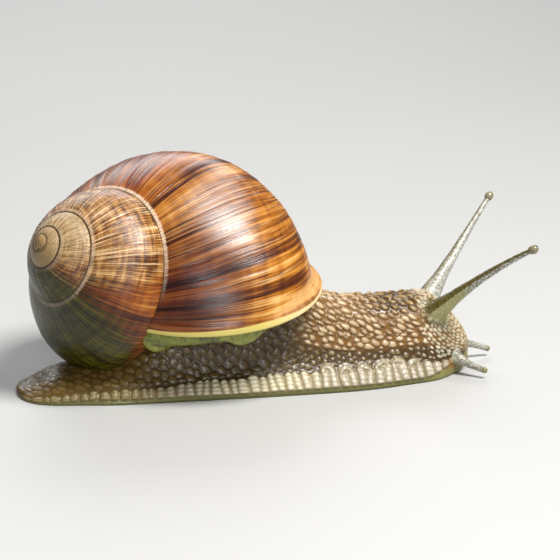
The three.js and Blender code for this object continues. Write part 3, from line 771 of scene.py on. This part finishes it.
def skin_relief(points):
    """The skin's relief in millimetres and from 0 to 1, the bead's tint, how far a point is
    on the skirt, its height as on a full-height body, and its share of the height."""
    x = points[:, 0]
    _, _, top, under = station(np.clip(x, TAIL_END, SNOUT))
    scale = np.clip((top - under) / LOW_BODY, LOWEST_SHARE, 1)
    rise = (points[:, 2] - under) / scale
    share = (points[:, 2] - under) / (top - under)
    ribs, skirt = skirt_ribs(x, rise, np.sign(points[:, 1]))
    skirt = skirt * band(x, *SKIRT_ENDS)
    above = smooth((rise - skirt_top(x) - 0.1) / 0.4) * (1 - skirt)
    patterns = bead_patterns(points, share)
    relief = sum(weight * height * dome for weight, height, dome, _ in patterns)
    level = sum(weight * dome for weight, _, dome, _ in patterns)
    tint = sum(weight * number for weight, _, _, number in patterns)
    calm = 1 - 0.5 * eased(x, *CALM_TAIL)
    relief = above * calm * relief + skirt * RIB_HEIGHT * scale * ribs
    return relief, np.clip(above * level + skirt * ribs, 0, 1), tint * (1 - skirt), skirt, rise, share


def tentacle_places(points):
    """How far each point belongs to a tentacle and to a lower one, and where along it."""
    tentacle, lower, reach = np.zeros((3, len(points)))
    near = np.flatnonzero(points[:, 0] > TENTACLE_FROM)
    for curves, table, spread in ((uppers, UPPER_RADII, UPPER_SPREAD), (lowers, LOWER_RADII, LOWER_SPREAD)):
        for curve in curves.values():
            part, distance = curve.nearest(points[near])
            wide = tapered(table)(part, None)
            on = smooth((spread - distance / wide) / SPREAD_EASE) * eased(part, *TENTACLE_ROOT)
            for values, found in ((tentacle, on), (lower, on * (curves is lowers)), (reach, on * part)):
                values[near] = np.maximum(values[near], found)
    return tentacle, lower, reach


def skin_parts():
    """The body, the lobes beside its mouth and the tentacles, each one closed."""
    parts = [body_mesh()]
    for side in SIDES:
        parts.append(ball(ORAL_LOBE_AT * [1, side, 1], ORAL_LOBE_SIZE))
        parts.append(tube(uppers[side], 0, BULB_START + BULB_OVERLAP, tapered(UPPER_RADII), 80, 32))
        parts.append(tube(lowers[side], 0, LOWER_END, tapered(LOWER_RADII), 40, 28))
        bulb = LOWER_BULB_LENGTH / lowers[side].length
        start = 1 - bulb / 2
        parts.append(tube(lowers[side], start, start + bulb, rounded(LOWER_BULB_RADIUS), 16, 24))
    return parts


def build_skin():
    """The whole animal outside its shell as one skin, without the eye bulbs."""
    skin = joined("skin_visual", skin_parts(), SKIN_VOXEL, SKIN_ROUNDS)
    points, normals = points_of(skin.data), normals_of(skin.data)
    relief, level, tint, skirt, rise, share = skin_relief(points)
    tentacle, lower, reach = tentacle_places(points)
    x, y, z = points.T
    fine, _ = beads(x + 0.4 * y, z + 0.7 * y, TENTACLE_BEADS)
    relief = relief * (1 - tentacle) + tentacle * TENTACLE_BEADS[0] * fine
    level = level * (1 - tentacle) + tentacle * fine
    moved = points + normals * (relief * smooth(z / SOLE_EASE))[:, None]
    moved[:, 2] = np.where(z < FLAT_SOLE, 0, np.maximum(moved[:, 2], 0))
    set_points(skin.data, moved)
    grooves, crests = laid(skin_paints(points, normals, rise, share, skirt, tentacle, lower, reach))
    store(skin.data, relief=level, tint=tint * (1 - tentacle), groove_colour=grooves, crest_colour=crests)
    return skin


def skin_paints(points, normals, rise, share, skirt, tentacle, lower, reach):
    """The skin's paints in the order in which they are laid: how far each point has
    one, and its colours in the grooves and on the raised beads."""
    x, y, z = points.T
    front, head, tail = eased(x, 4, 13), eased(x, 25.5, 29.5), eased(x, -6, -22)
    above, near = eased(share, 0.4, 0.5), smooth(-y / 0.5)
    edge = smooth((sole_edge(x) + 0.3 - rise) / 0.3)
    crown = eased(share, 0.8, 0.92) * band(x, 17, 22, 28, 31)
    mouth = 0.75 * band(x, 30.4, 31.8, 34, 35.5) * band(z, 0.8, 1.5, 2.0, 3.0)
    dark_near = eased(normals @ unit(DARK_NEAR_WAY), 0.2, 0.5)
    dark_far = eased(normals @ unit(DARK_FAR_WAY), 0.55, 0.85)
    dark = dark_near * near + dark_far * (1 - near)
    pale = tentacle * (1 - dark)
    return [
        (np.ones(len(x)), (72, 54, 16), (112, 90, 40)),
        (tail, (112, 86, 34), (154, 126, 66)),
        (front, (80, 56, 20), (160, 144, 98)),
        (front * above, (136, 96, 42), (232, 206, 164)),
        (crown, (78, 54, 10), (180, 146, 92)),
        (head * above, (136, 98, 42), None),
        (head, None, (250, 240, 208)),
        (eased(x, 30, 32) * above, (158, 126, 76), None),
        (skirt, (150, 136, 100), None),
        (skirt * (1 - tail), None, (216, 204, 182)),
        # paler skirt under the shell: painted light that lifts the shell's cast shadow there
        (skirt * band(x, -14, -2, 4, 14), (168, 150, 106), (252, 242, 206)),
        (skirt * tail, (124, 106, 62), (162, 146, 98)),
        (edge, (122, 120, 66), (142, 138, 80)),
        (edge * head, (148, 144, 82), (166, 162, 98)),
        (mouth, (176, 118, 38), (212, 162, 78)),
        (pale, (150, 148, 128), (240, 240, 232)),
        (pale * eased(reach, 0.52, 0.38) * near, (184, 180, 120), (204, 200, 138)),
        (tentacle * dark, (88, 80, 32), (120, 110, 54)),
        (lower * (1 - eased(reach, 0.7, 0.85)), (160, 158, 138), (250, 250, 244)),
    ]


def laid(paints):
    """The colours of the grooves and of the raised beads, with the paints laid one over the other."""
    colours = np.zeros((2, len(paints[0][0]), 3))
    for amount, *pair in paints:
        for under, paint in zip(colours, pair):
            if paint:
                under += (linear(*paint) - under) * amount[:, None]
    return colours


# ---------------- mantle form
def build_mantle():
    """The soft collar in the mouth of the shell, with its lappet."""
    angle, radius, out = np.array(MANTLE_ROLL, float).T
    centre = grown(lip_point(radians(angle), WALL + MANTLE_GAP + radius), out)
    line, knots = smooth_line(centre)
    roll = tube(line, 0, 1, tapered(np.stack([knots, radius], axis=1)), 160, 28)
    row_growth, column_angle = np.linspace(*PLUG_GROWTH, PLUG_ROWS), np.linspace(*PLUG_ROUND, PLUG_COLUMNS)
    growth, angle = np.meshgrid(row_growth, column_angle, indexing="ij")
    plug = grown(lip_point(angle, WALL + MANTLE_GAP - flare_at(angle, growth)), growth).reshape(-1, 3)
    parts = [(plug, stack_faces(PLUG_ROWS, PLUG_COLUMNS)), roll, ball(LAPPET_AT, LAPPET_SIZE)]
    mantle = joined("mantle_visual", parts, MANTLE_VOXEL, MANTLE_ROUNDS)
    points = points_of(mantle.data)
    x, y, z = points.T
    folds = ripples(x * 0.8 + z * 1.4, y * 0.8, 31)
    set_points(mantle.data, points + normals_of(mantle.data) * (MANTLE_FOLDS * folds)[:, None])
    store(mantle.data, relief=folds)
    return mantle


def smooth_line(knots):
    """A smooth line through points, and the part of its length at each one."""
    steps = np.arange(len(knots))
    fine = np.linspace(0, len(knots) - 1, 401)
    line = np.array([np.interp(fine, steps, knots[:, k]) for k in range(3)]).T
    for _ in range(60):
        line[1:-1] = (line[:-2] + 2 * line[1:-1] + line[2:]) / 4
    curve = Curve(line)
    return curve, np.interp(steps, fine, curve.run) / curve.length


# ---------------- materials
class Material:
    """A node material, built a node at a time."""

    def __init__(self, name):
        self.material = bpy.data.materials.new(name)
        self.material.use_nodes = True
        self.tree = self.material.node_tree
        self.shader = self.tree.nodes["Principled BSDF"]

    def node(self, kind, inputs=None, **settings):
        made = self.tree.nodes.new(kind)
        for name, value in settings.items():
            setattr(made, name, value)
        for name, value in (inputs or {}).items():
            self.give(made.inputs[name], value)
        return made

    def give(self, socket, value):
        if isinstance(value, bpy.types.NodeSocket):
            self.tree.links.new(value, socket)
        else:
            socket.default_value = value

    def read(self, name, colour=False):
        """A value or colour that is stored on the mesh."""
        made = self.node("ShaderNodeAttribute", attribute_name=name)
        return made.outputs["Color" if colour else "Fac"]

    def place(self):
        return self.node("ShaderNodeTexCoord").outputs["Object"]

    def math(self, operation, *values):
        return self.node("ShaderNodeMath", dict(enumerate(values)), operation=operation).outputs[0]

    def product(self, *values):
        total = values[0]
        for value in values[1:]:
            total = self.math("MULTIPLY", total, value)
        return total

    def plus(self, base, value, amount=1.0):
        """The base and an amount of a value."""
        return self.math("MULTIPLY_ADD", value, amount, base)

    def noise(self, vector, scale=1.0, detail=3.0, roughness=0.5):
        inputs = {"Vector": vector, "Scale": scale, "Detail": detail, "Roughness": roughness}
        return self.node("ShaderNodeTexNoise", inputs).outputs["Fac"]

    def ramp(self, value, stops):
        made = self.node("ShaderNodeValToRGB", {"Fac": value})
        elements = made.color_ramp.elements
        while len(elements) < len(stops):
            elements.new(0.5)
        for element, (place, colour) in zip(elements, stops):
            element.position = place
            element.color = (*linear(*colour), 1)
        return made.outputs["Color"]

    def mix(self, amount, first, second, blend_type="MIX"):
        made = self.node("ShaderNodeMix", data_type="RGBA", blend_type=blend_type)
        self.give(made.inputs["Factor"], amount)
        for socket, value in ((made.inputs[6], first), (made.inputs[7], second)):
            self.give(socket, (*linear(*value), 1) if isinstance(value, tuple) else value)
        return made.outputs[2]

    def stain(self, amount, first, second):
        return self.mix(amount, first, second, "MULTIPLY")

    def range(self, value, low, high, to_low=0.0, to_high=1.0):
        """Eases from one value to another while the given one goes from low to high."""
        inputs = {"Value": value, "From Min": low, "From Max": high, "To Min": to_low, "To Max": to_high}
        return self.node("ShaderNodeMapRange", inputs, interpolation_type="SMOOTHSTEP").outputs["Result"]

    def bump(self, height, distance, strength=1.0):
        inputs = {"Height": height, "Distance": distance * MM, "Strength": strength}
        return self.node("ShaderNodeBump", inputs).outputs["Normal"]

    def surface(self, **inputs):
        inputs["Base_Color"] = self.stain(1.0, inputs["Base_Color"], PAINT_DEPTH)
        for name, value in inputs.items():
            self.give(self.shader.inputs[name.replace("_", " ")], value)
        return self.material


class ShellLook(Material):
    """Paint laid by growth back from the lip and by the angle round its oval."""

    def __init__(self):
        super().__init__("shell")
        for name in ("growth", "around", "suture", "bundle", "green"):
            setattr(self, name, self.read(name))
        self.streaks = {name: self.streak(*numbers) for name, numbers in STREAKS.items()}
        self.early_tone = self.tone(EARLY_TONE)
        self.to_middle, self.to_early, self.to_first = [
            self.range(self.growth, *zone) for zone in (TO_MIDDLE, TO_EARLY, TO_FIRST)]

    def streak(self, along, rate, stretch, seed, detail, roughness):
        """Noise drawn out round the oval, or along the whorl."""
        place = {0: self.product(self.read(along), rate), 1: self.product(self.around, stretch), 2: seed}
        return self.noise(self.node("ShaderNodeCombineXYZ", place).outputs[0], 1, detail, roughness)

    def tone(self, swings):
        """Some of the streaks together, each swinging to either side of one half."""
        total = 0.5 - sum(swings) / 2
        for name, swing in zip(TONE_STREAKS, swings):
            total = self.plus(total, self.streaks[name], swing)
        return total

    def whorls(self):
        """Growth streaks, from the wide dark ones of the last whorl to the first, pale one."""
        streaks, early = self.streaks, self.early_tone
        darkness = self.product(self.bundle, self.range(streaks["pale"], 0.25, 0.75, 0.4, 1.1))
        colour = self.ramp(self.plus(self.tone(BODY_TONE), darkness, -0.5), BODY_PAINT)
        colour = self.mix(self.to_middle, colour, self.ramp(self.tone(MIDDLE_TONE), MIDDLE_PAINT))
        colour = self.mix(self.to_early, colour, self.ramp(early, EARLY_PAINT))
        lines = self.range(self.plus(streaks["pale"], streaks["hair"], 0.5), 0.8, 0.92)
        lines = self.product(lines, self.plus(0.42, self.to_middle, 0.35), self.range(self.bundle, 0.6, 0.1))
        colour = self.mix(lines, colour, PALE_LINE)
        crisp = self.product(self.range(streaks["radial"], 0.56, 0.66), self.to_middle,
                             self.range(self.to_early, 0, 1, 1, 0.45),
                             self.range(early, -0.1, 0.7, 0.3, 0.85))
        colour = self.mix(crisp, colour, CRISP_LINE)
        return self.mix(self.to_first, colour, self.ramp(early, FIRST_PAINT))

    def sheen_shade_and_stains(self, colour):
        """A painted highlight high on the last whorl, painted shade with a darker colour on the low parts, a
        darker older part, and a painted reflection of green surroundings with painted shade on the older
        whorls.
        """
        # painted highlight: a pale, streaked patch high on the last whorl
        sheen = [self.range(self.growth, *zone) for zone in SHEEN_GROWTH]
        sheen += [self.range(self.around, *zone) for zone in SHEEN_ROUND]
        sheen = self.product(*sheen, self.range(self.streaks["pale"], 0.3, 0.7, 0.08, 0.66))
        colour = self.mix(sheen, colour, PAINTED_SHEEN)
        # painted shade on the low parts, along with their darker colour
        low = self.product(self.range(self.around, *LOW_ROUND), self.range(self.growth, *LOW_GROWTH), 0.9)
        colour = self.stain(low, colour, LOW_STAIN_AND_SHADE)
        # painted shade in a band beside the painted green reflection
        colour = self.stain(self.product(self.read("shade"), 0.8), colour, PAINTED_SHADE)
        old = self.product(self.range(self.growth, *TO_OLD), self.range(self.to_middle, 0, 1, 1, 0))
        colour = self.stain(old, colour, OLD_STAIN)
        # painted reflection of green surroundings where the older whorls face down and back
        return self.mix(self.product(self.green, 0.94), colour, self.ramp(self.early_tone, OLIVE_REFLECTION_PAINT))

    def lipped(self, colour):
        """The light band before the lip, and its yellow rim."""
        to_lip = self.math("DIVIDE", self.growth, self.range(self.around, *LIP_ROUND, *LIP_WIDTH))
        near = self.product(self.range(to_lip, *LIP_ZONE), self.range(self.early_tone, 0.2, 0.8, 0.15, 0.9))
        colour = self.mix(near, colour, self.ramp(self.around, NEAR_LIP_PAINT))
        rim = self.range(self.growth, self.range(self.around, *RIM_ROUND, *RIM_STARTS),
                         self.range(self.around, *RIM_ROUND, *RIM_FULL))
        return self.mix(rim, colour, self.ramp(self.around, RIM_PAINT))

    def seamed(self, colour):
        """The suture: a pale beaded seam, with a dark line in it."""
        strength = self.ramp(self.math("DIVIDE", self.growth, START), SEAM_STRENGTH)
        seam = self.range(self.plus(self.suture, self.streaks["fine"], -0.5), 0.68, 0.38)
        beaded = self.range(self.streaks["beads"], 0.35, 0.6, 0.35, 1.0)
        in_green = self.range(self.green, 0, 1, 1, 0.3)
        colour = self.mix(self.product(seam, strength, beaded, in_green), colour, SEAM)
        jagged = self.plus(self.suture, self.math("SUBTRACT", self.streaks["hair"], 0.5), 0.2)
        dark = self.product(self.range(jagged, 0.27, 0.15), self.plus(0.9, self.to_first, -0.5))
        return self.mix(dark, colour, DARK_SEAM)


def shell_material():
    look = ShellLook()
    colour = look.seamed(look.lipped(look.sheen_shade_and_stains(look.whorls())))
    colour = look.mix(look.read("inside"), colour, INSIDE)
    fine, hair = look.streaks["fine"], look.streaks["hair"]
    normal = look.bump(look.plus(look.product(hair, 0.3), fine, 0.7), 0.1)
    rough = look.range(fine, 0.3, 0.7, 0.24, 0.34)
    return look.surface(Base_Color=colour, Roughness=rough, Normal=normal, Specular_IOR_Level=0.42)


def skin_material():
    look = Material("skin")
    place = look.place()
    mottle = look.noise(place, 900, 4, 0.6)
    speck = look.math("SUBTRACT", look.noise(place, 5200, 2, 0.5), 0.5)
    raised = look.range(look.plus(look.read("relief"), speck, 0.45), 0.25, 1.05)
    groove, crest = look.read("groove_colour", True), look.read("crest_colour", True)
    dimmer = look.range(look.read("tint"), 0.2, 1.0, 0.0, 0.45)
    colour = look.mix(raised, groove, crest)
    colour = look.mix(look.product(dimmer, raised), colour, groove)
    colour = look.mix(look.range(mottle, 0.35, 0.8, 0, 0.3), colour, MOTTLE)
    normal = look.bump(look.noise(place, 3600, 3, 0.6), 0.08, 0.7)
    rough = look.range(mottle, 0.3, 0.7, 0.22, 0.42)
    return look.surface(Base_Color=colour, Roughness=rough, Normal=normal, Specular_IOR_Level=0.3,
                        Coat_Weight=0.16, Coat_Roughness=0.1, Subsurface_Weight=0.08, Subsurface_Scale=0.0005)


def flesh(name, scale, detail, roughest, bump, colour_of, **inputs):
    """Damp flesh, which its mottling also roughens and raises."""
    look = Material(name)
    mottle = look.noise(look.place(), scale, *detail)
    rough, normal = look.range(mottle, 0.3, 0.7, 0.25, roughest), look.bump(mottle, *bump)
    return look.surface(Base_Color=colour_of(look, mottle), Roughness=rough, Normal=normal,
                        Coat_Weight=0.4, **inputs)


def mantle_colour(look, mottle):
    return look.ramp(look.plus(look.product(look.read("relief"), 0.4), mottle, 0.6), MANTLE_PAINT)


def bulb_colour(look, mottle):
    return look.mix(look.read("eye"), look.ramp(mottle, BULB_PAINT), EYE)


# ---------------- pieces
def dress(piece, material, nodes):
    piece.data.materials.clear()
    piece.data.materials.append(material)
    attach(piece, "root")
    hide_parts(*nodes)


def build_bulb(name, curve):
    """A tentacle's rounded tip, with the dark eye on its upper outer side."""
    end = BULB_START + BULB_LENGTH / curve.length
    points, faces = tube(curve, BULB_START, end, rounded(BULB_RADIUS), 48, 48)
    bulb = mesh_object(name, points, faces)
    eye_at = unit(EYE_TIP * curve.end_way + EYE_WAY)
    turned = (unit(points - points.mean(axis=0)) * eye_at).sum(axis=1)
    store(bulb.data, eye=eased(turned, *EYE_ZONE))
    return bulb


skin_nodes = ["tail", "foot", "neck", "head"]
for word in SIDES.values():
    skin_nodes += [f"upper_tentacle_{word}_{part}" for part in ("root", "middle", "end")]
for word in SIDES.values():
    skin_nodes += [f"lower_{part}_{word}" for part in ("tentacle", "tip")]

dress(build_shell(), shell_material(), ["shell"])
mantle_look = flesh("mantle", 1400, (4, 0.6), 0.42, (0.08, 0.7), mantle_colour,
                    Coat_Roughness=0.2, Subsurface_Weight=0.15, Subsurface_Scale=0.0008)
dress(build_mantle(), mantle_look, ["mantle_collar"])
dress(build_skin(), skin_material(), skin_nodes)
bulb_look = flesh("eye_bulb", 2600, (3, 0.5), 0.4, (0.03, 0.5), bulb_colour, Coat_Roughness=0.15)
for side, word in SIDES.items():
    dress(build_bulb(f"eye_bulb_{word}_visual", uppers[side]), bulb_look, [f"eye_bulb_{word}"])


# ---------------- stage
def build_floor():
    look = Material("floor")
    colour = look.ramp(look.noise(look.place(), 3), FLOOR_PAINT)
    corners = [(x * FLOOR_REACH, y * FLOOR_REACH, 0) for x, y in ((-1, -1), (1, -1), (1, 1), (-1, 1))]
    floor = mesh_object("floor", corners, [range(4)])
    floor.data.materials.append(look.surface(Base_Color=colour, Roughness=0.6))


def place_object(name, data, at, way):
    """A lamp or camera at a place in millimetres, which faces a way."""
    holder = bpy.data.objects.new(name, data)
    holder.location = Vector(at) * MM
    holder.rotation_euler = Vector(way).to_track_quat("-Z", "Y").to_euler()
    bpy.context.scene.collection.objects.link(holder)
    return holder


def build_lights():
    for name, (at, size, power, colour, towards) in LAMPS.items():
        lamp = bpy.data.lights.new(name, "AREA")
        lamp.size = size * MM
        lamp.energy = power
        lamp.color = colour
        place_object(name, lamp, at, np.subtract(towards, at))
    world = bpy.data.worlds.new("studio")
    world.use_nodes = True
    sky = world.node_tree.nodes["Background"]
    sky.inputs["Color"].default_value = SKY
    sky.inputs["Strength"].default_value = SKY_STRENGTH
    bpy.context.scene.world = world
    bpy.context.scene.view_settings.view_transform = "Standard"


def build_camera():
    back = np.array([
        math.sin(CAMERA_AZIMUTH) * math.cos(CAMERA_ELEVATION),
        -math.cos(CAMERA_AZIMUTH) * math.cos(CAMERA_ELEVATION),
        math.sin(CAMERA_ELEVATION),
    ])
    lens = bpy.data.cameras.new("camera")
    lens.lens = LENS
    lens.sensor_width = SENSOR
    lens.clip_start = NEAREST_VIEW * MM
    bpy.context.scene.camera = place_object("camera", lens, CAMERA_TARGET + CAMERA_DISTANCE * back, -back)


build_floor()
build_lights()
build_camera()
